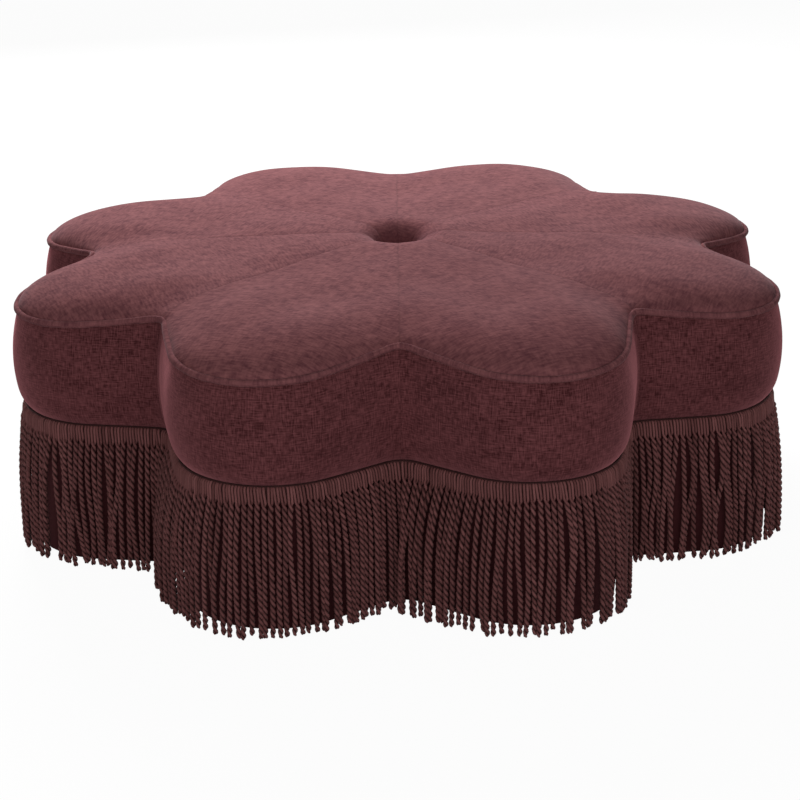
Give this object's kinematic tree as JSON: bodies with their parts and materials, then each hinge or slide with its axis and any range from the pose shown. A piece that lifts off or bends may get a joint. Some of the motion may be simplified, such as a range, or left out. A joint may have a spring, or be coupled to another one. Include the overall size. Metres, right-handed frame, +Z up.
{
  "type": "ottoman",
  "caption": "Low flower-shaped upholstered ottoman with a crowned, button-tufted top, piped edges and a deep twisted-cord fringe down to the floor.",
  "frame": {"origin": "on the floor under the centre button", "axes": "+Z up along the axis of symmetry; -Y points through a notch between two petals, the pictured front"},
  "size_m": [1.0654, 1.0654, 0.39],
  "materials": {
    "chenille": "brushed chenille pile",
    "bullion_fringe": "twisted rayon cord",
    "cotton_cord": "twisted cotton",
    "soft_foam": "open-cell foam",
    "firm_foam": "open-cell foam",
    "plywood": "sanded, unfinished",
    "softwood": "planed, unfinished",
    "fibreboard": "hardboard",
    "cambric": "non-woven sheet",
    "nylon": "moulded",
    "plated_steel": "zinc plated"
  },
  "bodies": {
    "root": {"base_ring": "plywood", "base_screws": "plated_steel", "button_cap": "chenille", "button_mould": "nylon", "cross_rib_1": "plywood", "cross_rib_2": "plywood", "crown_pad": "soft_foam", "deck_screws": "plated_steel", "dust_cover": "cambric", "dust_cover_staples": "plated_steel", "floor_glides": "nylon", "frame_post_1": "softwood", "frame_post_2": "softwood", "frame_post_3": "softwood", "frame_post_4": "softwood", "frame_post_5": "softwood", "frame_post_6": "softwood", "frame_post_7": "softwood", "frame_post_8": "softwood", "fringe_1": "bullion_fringe", "fringe_2": "bullion_fringe", "fringe_3": "bullion_fringe", "fringe_4": "bullion_fringe", "fringe_5": "bullion_fringe", "fringe_6": "bullion_fringe", "fringe_7": "bullion_fringe", "fringe_8": "bullion_fringe", "glide_nails": "plated_steel", "piping_cord": "cotton_cord", "piping_cover": "chenille", "plinth_cover": "chenille", "plinth_wall": "fibreboard", "seat_deck": "plywood", "seat_foam": "firm_foam", "side_panel_1": "chenille", "side_panel_2": "chenille", "side_panel_3": "chenille", "side_panel_4": "chenille", "side_panel_5": "chenille", "side_panel_6": "chenille", "side_panel_7": "chenille", "side_panel_8": "chenille", "top_panel_1": "chenille", "top_panel_2": "chenille", "top_panel_3": "chenille", "top_panel_4": "chenille", "top_panel_5": "chenille", "top_panel_6": "chenille", "top_panel_7": "chenille", "top_panel_8": "chenille", "tufting_twine": "cotton_cord", "twine_toggle": "softwood"}
  },
  "joints": []
}
